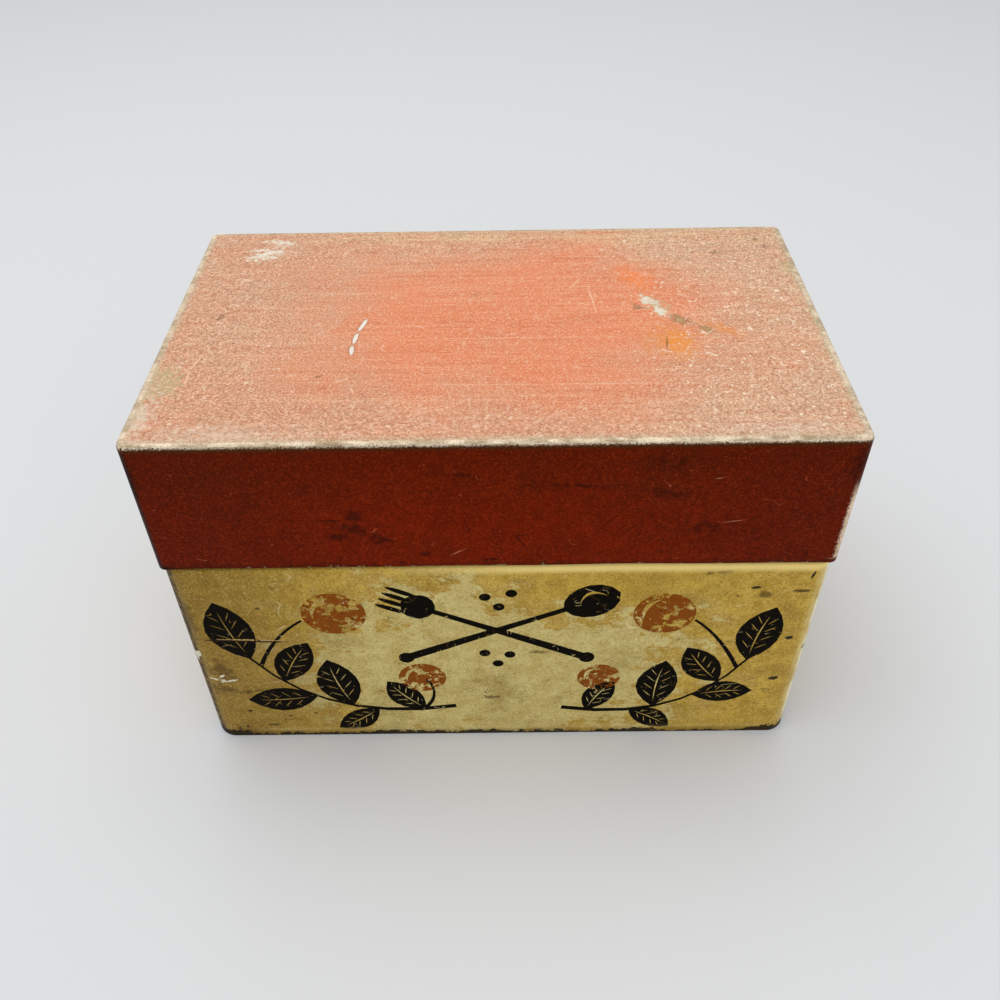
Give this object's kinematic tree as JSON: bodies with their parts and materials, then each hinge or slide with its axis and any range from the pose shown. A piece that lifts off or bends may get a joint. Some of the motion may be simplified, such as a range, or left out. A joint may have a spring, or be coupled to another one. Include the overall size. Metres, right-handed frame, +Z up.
{
  "type": "recipe card box",
  "caption": "Hinged tinplate box for recipe cards: straight-sided body with a necked collar, and a deep flat-topped lid on a rolled wire hinge along the back.",
  "frame": {"origin": "centre of the whole box's footprint, hinge barrel included, on the surface that it stands on", "axes": "+X to the right of someone who faces the front, +Y from the front wall to the hinge, +Z up"},
  "size_m": [0.134, 0.0824, 0.088],
  "materials": {
    "body_tinplate": "worn printed enamel, satin",
    "lid_tinplate": "worn printed enamel, satin",
    "base_tinplate": "bare tinned steel",
    "steel_wire": "drawn wire"
  },
  "bodies": {
    "box": {"body_wrap": "body_tinplate", "base_plate": "base_tinplate", "hinge_wire": "steel_wire"},
    "lid": {"lid": "lid_tinplate"}
  },
  "joints": [
    {"name": "lid_hinge", "type": "hinge", "parent": "box", "child": "lid", "pos_m": [0, 0.0401, 0.05645], "axis": [-1, 0, 0], "range_deg": [0, 180]}
  ]
}
